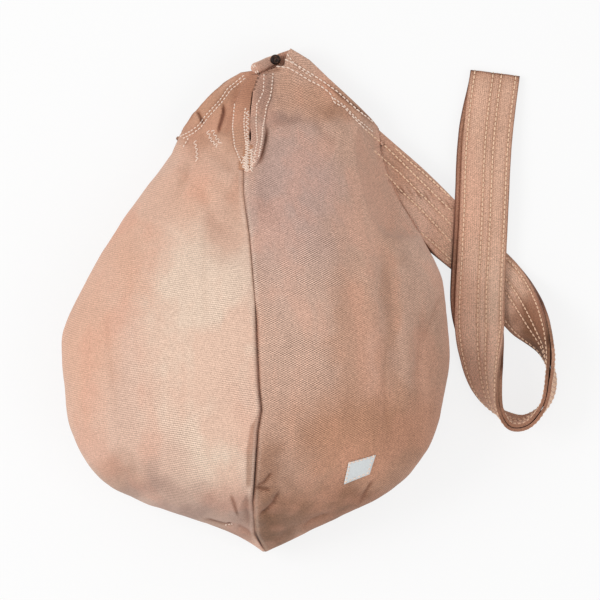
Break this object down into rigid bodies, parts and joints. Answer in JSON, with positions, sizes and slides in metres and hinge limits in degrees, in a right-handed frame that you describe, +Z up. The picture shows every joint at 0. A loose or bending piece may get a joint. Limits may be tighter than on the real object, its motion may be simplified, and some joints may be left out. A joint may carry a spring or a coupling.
{
  "type": "prayer bead bag",
  "caption": "Soft twill bag for prayer beads, with a finger slit, an open hemmed mouth with a snap tab, and a folded neck strap.",
  "frame": {"origin": "on the table, under the middle of the bag and its strap as they lie", "axes": "+Z up from the table, +Y from the bag's bottom corner to its mouth, +X to the side where the strap leaves"},
  "size_m": [0.297, 0.3021, 0.1106],
  "materials": {
    "cloth": "washed cotton twill, dull",
    "strap_cloth": "folded cotton twill, dull",
    "thread": "pale sewing thread",
    "label": "plain pale woven label",
    "snap": "dark brown press snap"
  },
  "bodies": {
    "bag": {"left_panel": "cloth", "right_panel": "cloth", "back_hem_left": "cloth", "back_hem_right": "cloth", "slit_bartack": "thread", "front_seam": "cloth", "back_seam": "cloth", "label": "label", "strap_end_front": "strap_cloth", "strap_end_back": "strap_cloth", "snap_stud": "snap"},
    "mouth_lip": {"front_lip_left": "cloth", "front_lip_right": "cloth", "front_hem_left": "cloth", "front_hem_right": "cloth", "placket_left": "cloth", "placket_right": "cloth", "tab_end": "cloth"},
    "closure_tab": {"closure_tab": "cloth", "snap_cap": "snap", "snap_socket": "snap"},
    "strap": {"strap": "strap_cloth"}
  },
  "joints": [
    {"name": "mouth_fold", "type": "hinge", "parent": "bag", "child": "mouth_lip", "pos_m": [-0.036, 0.093, 0.054], "axis": [1, 0, 0], "range_deg": [0, 35]},
    {"name": "tab_fold", "type": "hinge", "parent": "mouth_lip", "child": "closure_tab", "pos_m": [-0.0336, 0.1386, 0.025], "axis": [0.3892, -0.9211, 0], "range_deg": [0, 120]},
    {"name": "strap_swing", "type": "hinge", "parent": "bag", "child": "strap", "pos_m": [0.05285, 0.0715, 0.0203], "axis": [0.3902, -0.9143, 0.1088], "range_deg": [0, 90]}
  ]
}
